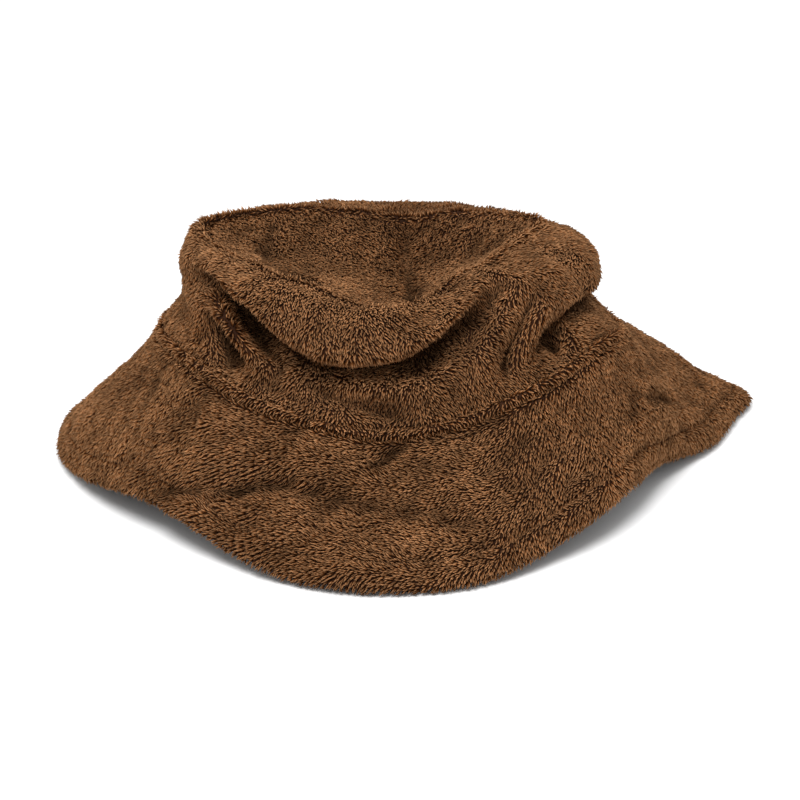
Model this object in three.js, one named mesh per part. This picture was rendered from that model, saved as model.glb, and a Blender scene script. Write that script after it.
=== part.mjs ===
// A lined bucket hat in pile fabric, standing on its brim with the crown slumped in on itself.
// Millimetres, +Z up, front of the hat towards -Y. The origin is below the middle, on the table.
//
// Every ply of the hat follows one outer surface. Rings of points round the head axis draw that
// surface, smooth curves join them from the middle of the tip down to the hem, and a ply is the
// layer of it between two depths under the surface.
import * as THREE from 'three';

// ---- Driving dimensions ----
const AXIS_X = -2.5;            // the head axis lies a little left of the hat's middle
const TIP_CENTRE_HEIGHT = 71;   // the tip is dished, so its middle is lower than its seam
const TIP_RIM_REACH = 0.86;     // shares of the tip seam's distance from the axis
const TIP_MIDDLE_REACH = 0.5;
const TIP_MIDDLE_RISE = 0.32;   // share of the rise from the tip's centre to its rim

const PILE_CLOTH = 3.0;         // pile fabric with its pile
const UNDER_CLOTH = 2.8;        // the under brim's pile is pressed a little flatter
const LINING_CLOTH = 0.8;
const INTERLINING = 1.0;
const SWEATBAND = 1.2;
const LABEL = 0.5;
const PLY_GAP = 0.4;            // air between one ply and the next
const THREAD_RADIUS = 0.35;
const THREAD_LIFT = 0.95;       // from the cloth's surface up to the middle of a thread
const THREAD_STEPS = 48;

// Stations down the hat, from the middle of the tip to the hem
const TIP_CENTRE = 0;
const TIP_MIDDLE = 1;
const TIP_RIM = 2;
const TIP_SEAM = 3;
const SHOULDER = 4;
const LIP = 5;                  // lower edge of the fold that the crown has slumped into
const TUCK = 6;                 // deepest line under that fold
const SWELL = 7;
const NIP = 8;
const ROLL = 9;                 // the crown bulges a little just above the seam
const BASE_SEAM = 10;
const BRIM_UPPER = 11;
const BRIM_LOWER = 12;
const HEM = 13;
const TIP_STITCH = 3.3;         // rows of stitching
const BASE_STITCH = 9.4;
const HEM_STITCH = 12.6;
const BAND_STITCH = 9.5;
const HALF_SEAM = 0.02;         // half of the gap at a seam, in stations
const SEAM_TURN = 0.2;          // half of the gap at a side seam, in degrees

const AZIMUTH_STEP = 7.5;       // degrees between the columns of a ply's mesh
const RIGHT_SEAM = 0;           // the two side seams divide crown and brim into halves
const LEFT_SEAM = 180;
const FULL_TURN = 360;

// Rings round the head axis: azimuth in degrees from +X, distance from the axis, height
const RINGS = {
  [TIP_SEAM]: [
    [0, 50, 95], [10, 56, 95], [20, 62, 94], [30, 62, 93], [42, 58, 92], [56, 50, 91], [75, 44, 90],
    [92, 43, 90], [112, 50, 90], [135, 61, 91], [155, 73, 92], [169, 77, 93], [185, 70, 93],
    [203, 62, 92], [222, 57, 91], [236, 53, 89], [250, 52, 87], [263, 56, 86], [272, 55, 86],
    [283, 52, 88], [302, 44, 92], [318, 45, 94], [340, 46, 95],
  ],
  [SHOULDER]: [
    [0, 68, 93.5], [12, 70, 92.5], [25, 70, 90.5], [40, 67, 89], [60, 61, 88], [90, 56, 88.5],
    [112, 60, 89], [135, 71, 90], [155, 80, 92], [170, 83, 94], [188, 78, 95], [205, 73, 95],
    [228, 73, 92], [238, 72, 89], [249, 72, 87], [262, 73, 86], [272, 72, 87], [280, 69, 89],
    [290, 61, 91], [304, 53, 94], [318, 56, 95], [340, 60, 95],
  ],
  [LIP]: [
    [0, 80, 88.5], [25, 80, 87], [60, 73, 86], [90, 70, 86], [130, 79, 87], [170, 86, 89],
    [190, 84, 91], [205, 82, 92], [228, 85, 86], [238, 86, 80], [249, 87, 73], [258, 87, 72],
    [270, 86, 74], [278, 84, 79], [288, 77, 86], [297, 68, 91], [306, 63, 93], [318, 67, 94],
    [340, 74, 92],
  ],
  [TUCK]: [
    [0, 84, 81], [25, 83.5, 81], [60, 78, 80], [90, 76, 80], [130, 83, 81], [170, 87, 83],
    [190, 85, 84], [205, 79, 86], [222, 76, 80], [233, 75, 73], [245, 75, 66], [255, 74, 66],
    [262, 74, 67], [270, 74, 68.5], [279, 74, 72], [288, 73.5, 78], [297, 71, 83.5], [306, 69, 86],
    [318, 74, 87], [340, 81, 85],
  ],
  [SWELL]: [
    [0, 83.5, 74.5], [25, 83, 74], [60, 81, 73], [90, 80, 72], [130, 85, 74], [170, 86, 76],
    [190, 86, 77], [205, 85, 78], [212, 85, 76], [219, 83, 72], [228, 81, 66], [240, 80, 61.5],
    [252, 80, 60], [262, 82, 61.5], [270, 83, 61.5], [280, 82, 63.5], [290, 79, 69], [300, 77, 75],
    [312, 79, 79], [325, 81, 80], [340, 82.5, 79],
  ],
  [NIP]: [
    [0, 80, 67.5], [25, 81, 66.5], [50, 83, 66], [90, 84, 65], [130, 86, 66], [160, 87, 67],
    [190, 87, 68], [205, 85, 68], [215, 82, 66], [222, 82, 62], [235, 83, 57.5], [250, 84.5, 55],
    [262, 86, 54.5], [270, 86, 54.5], [278, 86, 56], [290, 84, 60], [305, 83, 66], [318, 80, 69],
    [325, 78, 71], [338, 78, 73], [350, 78, 71],
  ],
  [ROLL]: [
    [0, 87, 60.5], [25, 87.5, 58], [60, 89, 57], [90, 88, 56], [130, 90, 57], [160, 92, 58.5],
    [180, 92, 60], [205, 90.5, 61], [222, 88, 58], [240, 88.5, 53], [262, 90, 49.5], [280, 90, 51],
    [292, 89, 55], [305, 87, 61], [322, 84.5, 67], [340, 86, 67.5],
  ],
  [BASE_SEAM]: [
    [0, 95, 52.5], [20, 95.5, 49], [45, 95, 47.5], [90, 92, 46.5], [135, 95, 47.5], [160, 97, 50],
    [180, 97, 53.5], [205, 94.5, 57], [218, 93, 54.5], [233, 92.5, 50.3], [247, 91.5, 47.2],
    [257, 92.3, 44.8], [268, 93, 44], [280, 92.8, 45.5], [292, 92.8, 49.6], [301, 93.2, 53.4],
    [310, 93.6, 56.6], [320, 94.3, 60.6], [330, 94.6, 63], [340, 95.3, 62], [350, 95.3, 57.5],
  ],
  [BRIM_UPPER]: [
    [0, 110, 36], [20, 115, 35], [40, 111, 33], [65, 107, 32], [90, 106, 31.5], [120, 107, 33],
    [150, 106, 34], [165, 105, 36], [180, 110.5, 38], [207, 109, 38], [230, 107, 37],
    [251, 108, 32], [270, 108.5, 31], [290, 106, 34], [307, 103.5, 40], [323, 103, 43],
    [341, 105, 43],
  ],
  [BRIM_LOWER]: [
    [0, 123, 17.5], [20, 136.5, 18], [40, 126, 16], [65, 122, 16], [90, 120, 15.5], [120, 121, 16],
    [150, 122, 16], [165, 121.5, 17.5], [180, 128, 19.5], [207, 121, 19.5], [230, 119.5, 19.5],
    [251, 126, 16], [270, 127, 16], [290, 122, 18], [307, 117, 21], [323, 114, 22], [341, 115, 22],
  ],
  [HEM]: [
    [0, 134, 0], [11, 148, 0], [19, 160.5, 0], [24, 154.5, 0], [29, 148, 0], [40, 139, 0], [62, 135, 0],
    [90, 134, 0], [120, 136, 0], [150, 139.5, 0], [175, 140.5, 0], [186, 139, 0], [195, 135.5, 0],
    [204, 132.5, 0], [213, 130, 0], [222, 128.5, 0], [231, 130, 0], [240, 133.5, 0], [251, 138.5, 0],
    [262, 142, 0], [272, 142.5, 0], [284, 137, 0], [293, 131.5, 0], [302, 128, 0], [311, 125, 0],
    [320, 121.5, 0], [330, 118.5, 0], [341, 117.5, 0], [351, 123.5, 0],
  ],
};

// Drop from the tip seam to the rim of the dish inside it: azimuth, millimetres
const RIM_DROP = [
  [0, 5], [60, 4], [120, 4], [180, 5], [225, 8], [250, 9], [275, 7], [310, 6],
];

// The hem stands on the table, except for two soft waves at the front corners: azimuth of the
// wave's top, half of its span in degrees, and its height. The brim above the hem takes a share.
const HEM_WAVES = [[222, 38, 11.5], [321, 44, 12.5]];
const WAVE_SHARE = { [BRIM_UPPER]: 0.3, [BRIM_LOWER]: 0.7, [HEM]: 1 };

// Depth of each ply's outer and inner face under the outer surface
const OUTER_PLY = [0, PILE_CLOTH];
const LINING_TOP = PILE_CLOTH + PLY_GAP;
const LINING_PLY = [LINING_TOP, LINING_TOP + LINING_CLOTH];
const INTERLINING_PLY = [LINING_TOP, LINING_TOP + INTERLINING];
const UNDER_TOP = INTERLINING_PLY[1] + PLY_GAP;
const UNDER_PLY = [UNDER_TOP, UNDER_TOP + UNDER_CLOTH];
const BAND_TOP = LINING_PLY[1] + PLY_GAP;
const BAND_PLY = [BAND_TOP, BAND_TOP + SWEATBAND];
const LABEL_TOP = BAND_PLY[1] + PLY_GAP;
const LABEL_PLY = [LABEL_TOP, LABEL_TOP + LABEL];

// ---- The outer surface ----

// Slopes at the knots of a curve, from the parabola through each knot and its two neighbours
function knotSlopes(knots, values) {
  const last = knots.length - 1;
  return values.map((value, i) => {
    if (i === 0) return (values[1] - value) / (knots[1] - knots[0]);
    if (i === last) return (value - values[last - 1]) / (knots[last] - knots[last - 1]);
    const before = knots[i] - knots[i - 1];
    const after = knots[i + 1] - knots[i];
    const rise = (values[i + 1] - value) / after;
    const run = (value - values[i - 1]) / before;
    return (rise * before + run * after) / (before + after);
  });
}

// Smooth cubic curve through the knots
function smoothCurve(knots, values) {
  const slopes = knotSlopes(knots, values);
  return (x) => {
    let i = 0;
    while (i < knots.length - 2 && x > knots[i + 1]) i += 1;
    const width = knots[i + 1] - knots[i];
    const t = (x - knots[i]) / width;
    const s = 1 - t;
    return s * s * ((1 + 2 * t) * values[i] + t * width * slopes[i])
      + t * t * ((3 - 2 * t) * values[i + 1] - s * width * slopes[i + 1]);
  };
}

// The same curve on a closed turn, through one value of each point
function turnCurve(points, which) {
  const azimuths = points.map((point) => point[0]);
  const values = points.map((point) => point[which]);
  const shift = (list, by) => list.map((v) => v + by);
  const curve = smoothCurve(
    [...shift(azimuths.slice(-2), -FULL_TURN), ...azimuths, ...shift(azimuths.slice(0, 2), FULL_TURN)],
    [...values.slice(-2), ...values, ...values.slice(0, 2)],
  );
  return (azimuth) => curve(THREE.MathUtils.euclideanModulo(azimuth, FULL_TURN));
}

function hemLift(azimuth) {
  return HEM_WAVES.reduce((lift, [top, halfSpan, height]) => {
    const turn = THREE.MathUtils.euclideanModulo(azimuth - top + LEFT_SEAM, FULL_TURN) - LEFT_SEAM;
    const share = Math.min(Math.abs(turn) / halfSpan, 1);
    return lift + (height * (1 + Math.cos(Math.PI * share))) / 2;
  }, 0);
}

const RING_CURVES = Object.fromEntries(Object.entries(RINGS).map(([station, points]) => [
  station,
  { radius: turnCurve(points, 1), height: turnCurve(points, 2) },
]));
const rimDrop = turnCurve(RIM_DROP, 1);
const STATIONS = Array.from({ length: HEM + 1 }, (_, station) => station);

// Distance from the axis and height of every station's ring at one azimuth
function ringsAt(azimuth) {
  const seamRadius = RING_CURVES[TIP_SEAM].radius(azimuth);
  const rimHeight = RING_CURVES[TIP_SEAM].height(azimuth) - rimDrop(azimuth);
  const middleHeight = TIP_CENTRE_HEIGHT + TIP_MIDDLE_RISE * (rimHeight - TIP_CENTRE_HEIGHT);
  const dish = {
    [TIP_CENTRE]: [0, TIP_CENTRE_HEIGHT],
    [TIP_MIDDLE]: [TIP_MIDDLE_REACH * seamRadius, middleHeight],
    [TIP_RIM]: [TIP_RIM_REACH * seamRadius, rimHeight],
  };
  return STATIONS.map((station) => {
    if (station in dish) return dish[station];
    const lift = (WAVE_SHARE[station] ?? 0) * hemLift(azimuth);
    const ring = RING_CURVES[station];
    return [ring.radius(azimuth), ring.height(azimuth) + lift];
  });
}

const sectionCache = new Map();
function sectionAt(azimuth) {
  if (!sectionCache.has(azimuth)) {
    const rings = ringsAt(azimuth);
    sectionCache.set(azimuth, {
      radius: smoothCurve(STATIONS, rings.map((ring) => ring[0])),
      height: smoothCurve(STATIONS, rings.map((ring) => ring[1])),
    });
  }
  return sectionCache.get(azimuth);
}

function surfacePoint(azimuth, station) {
  const section = sectionAt(azimuth);
  const angle = THREE.MathUtils.degToRad(azimuth);
  const radius = section.radius(station);
  return new THREE.Vector3(
    AXIS_X + radius * Math.cos(angle),
    radius * Math.sin(angle),
    section.height(station),
  );
}

// Outward direction, from steps long enough for the plies to turn gently at a tight fold
function surfaceNormal(azimuth, station) {
  const turn = 8;
  const step = 0.8;
  const here = Math.max(station, 2 * step);
  const around = surfacePoint(azimuth + turn, here).sub(surfacePoint(azimuth - turn, here));
  const down = surfacePoint(azimuth, Math.min(here + step, HEM))
    .sub(surfacePoint(azimuth, here - step));
  return down.cross(around).normalize();
}

function layerPoint(azimuth, station, depth) {
  if (station === TIP_CENTRE) return new THREE.Vector3(AXIS_X, 0, TIP_CENTRE_HEIGHT - depth);
  return surfacePoint(azimuth, station).addScaledVector(surfaceNormal(azimuth, station), -depth);
}

// Station at which a layer comes down to the hem's height, which deeper layers reach sooner
function hemStation(azimuth, depth) {
  let low = HEM - 1;
  let high = HEM;
  for (let i = 0; i < 40; i += 1) {
    const middle = (low + high) / 2;
    if (layerPoint(azimuth, middle, depth).z > hemLift(azimuth)) low = middle;
    else high = middle;
  }
  return low;
}

// Point of a ply, where the last stretch of a brim ply ends in a level edge
function plyPoint(azimuth, station, depth, reachesHem) {
  const lastStretch = HEM - 1;
  if (!reachesHem || station <= lastStretch) return layerPoint(azimuth, station, depth);
  const end = hemStation(azimuth, depth);
  const share = (station - lastStretch) / (HEM - lastStretch);
  const point = layerPoint(azimuth, lastStretch + share * (end - lastStretch), depth);
  if (station === HEM) point.z = hemLift(azimuth);
  return point;
}

// ---- Solids ----

// Closed solid between two grids of points, each a list of columns of equal length. A ring's
// columns close on themselves, and a disc's columns all start at one shared point.
function solidBetween(outer, inner, { ring = false, disc = false }) {
  const columns = outer.length;
  const rows = outer[0].length;
  const positions = [];
  const index = [];
  const number = new Map();
  const vertex = (side, column, row) => {
    const c = disc && row === 0 ? 0 : column % columns;
    const key = `${side}/${c}/${row}`;
    if (!number.has(key)) {
      number.set(key, positions.length / 3);
      positions.push(...(side === 0 ? outer : inner)[c][row].toArray());
    }
    return number.get(key);
  };
  const face = (a, b, c) => {
    if (a !== b && b !== c && a !== c) index.push(a, b, c);
  };
  const quad = (a, b, c, d) => {
    face(a, b, c);
    face(a, c, d);
  };
  const spans = ring ? columns : columns - 1;
  for (let c = 0; c < spans; c += 1) {
    for (let r = 0; r < rows - 1; r += 1) {
      quad(vertex(0, c, r), vertex(0, c, r + 1), vertex(0, c + 1, r + 1), vertex(0, c + 1, r));
      quad(vertex(1, c, r), vertex(1, c + 1, r), vertex(1, c + 1, r + 1), vertex(1, c, r + 1));
    }
    const end = rows - 1;
    quad(vertex(0, c, end), vertex(1, c, end), vertex(1, c + 1, end), vertex(0, c + 1, end));
    if (!disc) quad(vertex(0, c + 1, 0), vertex(1, c + 1, 0), vertex(1, c, 0), vertex(0, c, 0));
  }
  if (!ring) {
    for (let r = 0; r < rows - 1; r += 1) {
      quad(vertex(0, 0, r), vertex(1, 0, r), vertex(1, 0, r + 1), vertex(0, 0, r + 1));
      quad(vertex(0, spans, r + 1), vertex(1, spans, r + 1), vertex(1, spans, r), vertex(0, spans, r));
    }
  }
  const geometry = new THREE.BufferGeometry();
  geometry.setAttribute('position', new THREE.Float32BufferAttribute(positions, 3));
  geometry.setIndex(index);
  geometry.computeVertexNormals();
  return geometry;
}

function steps(from, to, count) {
  return Array.from({ length: count + 1 }, (_, i) => from + ((to - from) * i) / count);
}

// Columns between two azimuths, kept on the common grid except for the ends
function columnsBetween(from, to) {
  const inside = [];
  for (let a = Math.ceil(from / AZIMUTH_STEP) * AZIMUTH_STEP; a < to; a += AZIMUTH_STEP) {
    if (a > from) inside.push(a);
  }
  return [from, ...inside, to];
}

function plySolid(azimuths, stations, ply, options = {}) {
  const grid = (depth) => azimuths.map((azimuth) => stations.map(
    (station) => plyPoint(azimuth, station, depth, options.reachesHem),
  ));
  return solidBetween(grid(ply[0]), grid(ply[1]), options);
}

const WHOLE_TURN = steps(0, FULL_TURN, FULL_TURN / AZIMUTH_STEP).slice(0, -1);
const FRONT_HALF = columnsBetween(LEFT_SEAM + SEAM_TURN, RIGHT_SEAM + FULL_TURN - SEAM_TURN);
const BACK_HALF = columnsBetween(RIGHT_SEAM + SEAM_TURN, LEFT_SEAM - SEAM_TURN);

const TIP_ROWS = [...steps(TIP_CENTRE, 2.5, 5), TIP_SEAM - HALF_SEAM];
const CROWN_ROWS = [
  TIP_SEAM + HALF_SEAM, TIP_STITCH, 3.6, ...steps(4, 9, 10), BASE_STITCH, BASE_SEAM - HALF_SEAM,
];
const BRIM_ROWS = [BASE_SEAM + HALF_SEAM, 10.4, 10.9, 11.5, BRIM_LOWER, HEM_STITCH, HEM];
const INTERLINING_ROWS = BRIM_ROWS.slice(0, -1);
const BAND_ROWS = [7.6, 8, 8.5, 9, BAND_STITCH, 9.85];
const LABEL_ROWS = [8.1, 8.5, 9];
const LABEL_COLUMNS = [82.5, 86, 90, 94, 97.5];

function ringOf(stations, ply, options = {}) {
  return plySolid(WHOLE_TURN, stations, ply, { ring: true, ...options });
}

function brimHalf(columns, ply) {
  return plySolid(columns, BRIM_ROWS, ply, { reachesHem: true });
}

// Thread laid round the hat just proud of a surface, on one row of its mesh. It starts and ends
// at the back, where the seam was begun.
function threadSolid(station, surfaceDepth, side) {
  const start = 90;
  const overlapGap = 1.5;
  const azimuths = [start + overlapGap, ...steps(97.5, 442.5, 46), start + FULL_TURN - overlapGap];
  const points = azimuths.map((azimuth) => layerPoint(
    azimuth,
    station,
    surfaceDepth - side * THREAD_LIFT,
  ));
  const section = new THREE.Shape();
  section.absarc(0, 0, THREAD_RADIUS, 0, 2 * Math.PI, false);
  return new THREE.ExtrudeGeometry(section, {
    steps: THREAD_STEPS,
    curveSegments: 3,
    extrudePath: new THREE.CatmullRomCurve3(points),
  });
}

// ---- Materials ----

const pileBrown = new THREE.MeshStandardMaterial({ color: 0x5b3d29, roughness: 0.95, metalness: 0 });
const liningBrown = new THREE.MeshStandardMaterial({ color: 0x4a3324, roughness: 0.8, metalness: 0 });
const bandBrown = new THREE.MeshStandardMaterial({ color: 0x3b281c, roughness: 0.75, metalness: 0 });
const stiffening = new THREE.MeshStandardMaterial({ color: 0xe9e4d8, roughness: 0.9, metalness: 0 });
const labelCream = new THREE.MeshStandardMaterial({ color: 0xd8ccb4, roughness: 0.7, metalness: 0 });
const threadBrown = new THREE.MeshStandardMaterial({ color: 0x2e1c10, roughness: 0.6, metalness: 0 });

// ---- The hat ----

const hat = new THREE.Group();

function add(name, geometry, material) {
  const mesh = new THREE.Mesh(geometry, material);
  mesh.name = name;
  hat.add(mesh);
}

add('tip_outer', ringOf(TIP_ROWS, OUTER_PLY, { disc: true }), pileBrown);
add('crown_front_outer', plySolid(FRONT_HALF, CROWN_ROWS, OUTER_PLY), pileBrown);
add('crown_back_outer', plySolid(BACK_HALF, CROWN_ROWS, OUTER_PLY), pileBrown);
add('brim_front_upper', brimHalf(FRONT_HALF, OUTER_PLY), pileBrown);
add('brim_back_upper', brimHalf(BACK_HALF, OUTER_PLY), pileBrown);
add('brim_front_under', brimHalf(FRONT_HALF, UNDER_PLY), pileBrown);
add('brim_back_under', brimHalf(BACK_HALF, UNDER_PLY), pileBrown);
add('brim_interlining', ringOf(INTERLINING_ROWS, INTERLINING_PLY, { reachesHem: true }), stiffening);

add('tip_lining', ringOf(TIP_ROWS, LINING_PLY, { disc: true }), liningBrown);
add('crown_front_lining', plySolid(FRONT_HALF, CROWN_ROWS, LINING_PLY), liningBrown);
add('crown_back_lining', plySolid(BACK_HALF, CROWN_ROWS, LINING_PLY), liningBrown);
add('sweatband', ringOf(BAND_ROWS, BAND_PLY), bandBrown);
add('size_label', plySolid(LABEL_COLUMNS, LABEL_ROWS, LABEL_PLY), labelCream);

add('tip_topstitch', threadSolid(TIP_STITCH, 0, 1), threadBrown);
add('base_topstitch', threadSolid(BASE_STITCH, 0, 1), threadBrown);
add('hem_topstitch', threadSolid(HEM_STITCH, 0, 1), threadBrown);
add('sweatband_stitch', threadSolid(BAND_STITCH, BAND_PLY[1], -1), threadBrown);

// Stand the hat with the origin under the middle of its box
const box = new THREE.Box3().setFromObject(hat);
const middle = box.getCenter(new THREE.Vector3());
hat.position.set(-middle.x, -middle.y, -box.min.z);

export default hat;
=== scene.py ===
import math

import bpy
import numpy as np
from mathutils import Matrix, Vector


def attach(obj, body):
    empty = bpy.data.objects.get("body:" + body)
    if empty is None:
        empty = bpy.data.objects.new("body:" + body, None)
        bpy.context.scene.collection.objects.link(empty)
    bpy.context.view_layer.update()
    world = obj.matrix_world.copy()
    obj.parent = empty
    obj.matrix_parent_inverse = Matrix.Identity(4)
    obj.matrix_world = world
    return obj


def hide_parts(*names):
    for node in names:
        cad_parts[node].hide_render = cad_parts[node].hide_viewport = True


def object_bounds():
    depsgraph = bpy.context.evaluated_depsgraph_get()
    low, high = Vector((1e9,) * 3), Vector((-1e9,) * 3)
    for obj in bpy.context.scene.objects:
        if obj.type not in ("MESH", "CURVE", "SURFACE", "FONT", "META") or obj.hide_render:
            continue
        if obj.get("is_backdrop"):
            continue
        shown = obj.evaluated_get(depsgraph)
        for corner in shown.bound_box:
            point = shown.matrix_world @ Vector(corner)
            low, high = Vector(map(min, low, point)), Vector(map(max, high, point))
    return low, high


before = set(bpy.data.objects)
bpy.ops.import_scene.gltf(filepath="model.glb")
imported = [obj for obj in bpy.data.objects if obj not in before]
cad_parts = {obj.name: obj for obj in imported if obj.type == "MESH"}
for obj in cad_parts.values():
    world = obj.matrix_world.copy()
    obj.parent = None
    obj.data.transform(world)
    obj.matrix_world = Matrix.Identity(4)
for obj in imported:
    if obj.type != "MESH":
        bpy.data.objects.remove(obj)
CAD_LOW, CAD_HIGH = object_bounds()

# A bucket hat in brown pile cloth. It stands on its brim and its crown has slumped in on itself.
#
# Everything follows one outer surface, the level that the tips of the pile reach. Rings of points
# round the head axis draw it, and smooth curves join the rings from the middle of the tip down to the
# hem. Creases, seams and a little unevenness are pressed into it, and then every ply, stitch and tuft
# of pile is placed at its depth under it. The drawing is in millimetres, measured from the head axis.
# The pile is real geometry: small tapered tufts, combed in the directions that the cloth lies in.

MM = 0.001
FULL_TURN = 360.0
AIM_RIGHT = 2.5                 # the camera's aim lies this far right of the head axis

# ---- Stations from the middle of the tip to the hem ----
TIP_CENTRE, TIP_MIDDLE, TIP_RIM, TIP_SEAM = 0, 1, 2, 3
SHOULDER, LIP, TUCK, SWELL, NIP, ROLL = 4, 5, 6, 7, 8, 9
BASE_SEAM, BRIM_UPPER, BRIM_LOWER, HEM = 10, 11, 12, 13

# ---- Rings: azimuth in degrees from +X, distance from the head axis, height ----
RINGS = {
    TIP_SEAM: [
        (0, 50, 95), (10, 56, 95), (20, 62, 94), (30, 62, 93), (42, 58, 92), (56, 50, 91), (75, 44, 90),
        (92, 43, 90), (112, 50, 90), (135, 61, 91), (155, 73, 92), (169, 77, 93), (185, 70, 93),
        (203, 62, 92), (222, 57, 91), (236, 53, 89), (250, 52, 87), (263, 56, 86), (272, 55, 86),
        (283, 52, 88), (302, 44, 92), (318, 45, 94), (340, 46, 95),
    ],
    SHOULDER: [
        (0, 68, 93.5), (12, 70, 92), (25, 69, 90), (40, 66, 88.5), (60, 60, 88), (90, 55, 88.5),
        (112, 59, 89), (135, 70, 90), (155, 79, 92), (170, 82, 94), (188, 78, 95), (205, 73, 95),
        (228, 73, 92), (238, 72, 89), (249, 72, 87), (262, 73, 86), (272, 72, 87), (280, 69, 89),
        (290, 61, 91), (304, 51, 94), (318, 55, 95), (340, 60, 95),
    ],
    LIP: [
        (0, 80, 88.5), (25, 79, 86.5), (60, 72, 86), (90, 69, 86), (130, 79, 87), (170, 85.5, 89),
        (190, 84, 91), (205, 82, 92), (228, 85, 86), (238, 86, 80), (249, 87, 73), (258, 87, 72),
        (270, 86, 74), (278, 84, 79), (288, 77, 86), (297, 68, 91), (306, 60, 94), (318, 66, 94),
        (340, 74, 92),
    ],
    TUCK: [
        (0, 84, 81), (25, 83, 80), (60, 78, 80), (90, 76, 80), (130, 83, 81), (170, 87, 83),
        (190, 85, 84), (203, 79, 86), (212, 75, 82), (222, 72, 77), (233, 71, 70), (245, 71, 63.5),
        (255, 70, 63), (262, 70, 64), (270, 70, 65.5), (279, 70, 69), (288, 69, 75), (297, 67, 81),
        (306, 66, 85.5), (318, 74, 87.5), (340, 81, 85),
    ],
    SWELL: [
        (0, 83, 74.5), (25, 82.5, 74), (60, 81, 73), (90, 80, 72), (130, 85, 74), (170, 86, 76),
        (190, 86, 77), (205, 85.5, 78), (213, 85, 77), (220, 82, 71), (228, 79, 66), (240, 77.5, 61.5),
        (252, 78, 59.5), (262, 81.5, 61), (270, 82, 61), (280, 81, 62.5), (290, 77.5, 67.5),
        (300, 76.5, 74), (312, 79, 79), (325, 81, 80), (340, 82.5, 79),
    ],
    NIP: [
        (0, 78, 67.5), (20, 79.5, 66.5), (50, 83, 66), (90, 84, 65), (130, 86, 66), (160, 87, 67),
        (190, 86.5, 68), (205, 85, 68), (215, 81, 66), (222, 81, 62), (235, 83, 57), (250, 84, 54.5),
        (262, 86, 54), (270, 86.5, 54), (278, 86, 55.5), (290, 84, 59.5), (305, 83, 66), (318, 79, 69),
        (325, 76.5, 71), (338, 76.5, 73), (350, 76.5, 71),
    ],
    ROLL: [
        (0, 86.5, 60.5), (25, 87.5, 58), (60, 89, 57), (90, 88, 56), (130, 90, 57), (160, 92, 58.5),
        (180, 92, 60), (205, 90.5, 61), (222, 88, 58), (240, 88.5, 53), (262, 90.3, 48.8),
        (280, 90.2, 50.2),
        (292, 89, 55), (305, 87, 61), (322, 84.5, 67), (340, 86, 67.5),
    ],
    BASE_SEAM: [
        (0, 95, 52.5), (20, 95.5, 49), (45, 95, 47.5), (90, 92, 46.5), (135, 95, 47.5), (160, 97, 50),
        (180, 97, 53.5), (205, 94.5, 57), (218, 93, 54.5), (233, 92.5, 50.3), (247, 91.5, 47.2),
        (257, 92.3, 44.8), (268, 93, 44), (280, 92.8, 45.5), (292, 92.8, 49.6), (301, 93.2, 53.4),
        (310, 93.6, 56.6), (320, 94.3, 60.6), (330, 94.6, 63), (340, 95.3, 62), (350, 95.3, 57.5),
    ],
    BRIM_UPPER: [
        (0, 110, 36), (20, 115, 35), (40, 111, 33), (65, 107, 32), (90, 106, 31.5), (120, 107, 33),
        (150, 106, 34), (165, 105, 36), (180, 110.5, 38), (207, 109, 38), (230, 107, 37),
        (251, 108, 32), (270, 108.5, 31), (290, 106, 34), (307, 103.5, 40), (323, 103, 43),
        (341, 105, 43),
    ],
    BRIM_LOWER: [
        (0, 123, 19.5), (20, 136, 20), (40, 125.5, 18), (65, 122, 18), (90, 120, 17.5), (120, 121, 18),
        (150, 122, 18), (165, 121.5, 19.5), (180, 128, 21.5), (207, 121, 21), (230, 119.5, 21),
        (251, 126, 18), (270, 127, 17.5), (290, 122, 19.5), (307, 117, 22.5), (323, 114, 23.5),
        (341, 115, 23.5),
    ],
    HEM: [
        (0, 133, 6), (11, 146, 6), (19, 159.5, 6), (24, 152.5, 6), (29, 146, 6), (40, 136.5, 6),
        (62, 133, 6), (90, 132, 6), (120, 134, 6), (150, 137.5, 6), (175, 139, 6), (186, 137.5, 6),
        (195, 134, 6), (204, 131, 6), (213, 128.5, 6), (222, 127, 6), (231, 128.5, 6), (240, 132, 6),
        (251, 137, 6), (262, 140.5, 6), (272, 141, 6), (284, 137.5, 6), (293, 132, 6), (302, 127.5, 6),
        (311, 124.5, 6), (320, 120.5, 6), (330, 117, 6), (341, 116, 6), (351, 122, 6),
    ],
}
TIP_CENTRE_HEIGHT = 74.0
TIP_RIM_REACH, TIP_MIDDLE_REACH = 0.86, 0.5     # shares of the tip seam's distance from the axis
TIP_MIDDLE_RISE = 0.32                          # share of the rise from the centre to the rim
RIM_DROP = [(0, 5), (60, 4), (120, 4), (180, 5), (225, 8), (250, 9), (275, 7), (310, 6)]

# The hem touches the table except for two soft waves: azimuth, half of the span, height
HEM_WAVES = [(222, 38, 11.0), (321, 42, 12.0)]
WAVE_SHARE = {BRIM_UPPER: 0.3, BRIM_LOWER: 0.7, HEM: 1.0}

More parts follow.
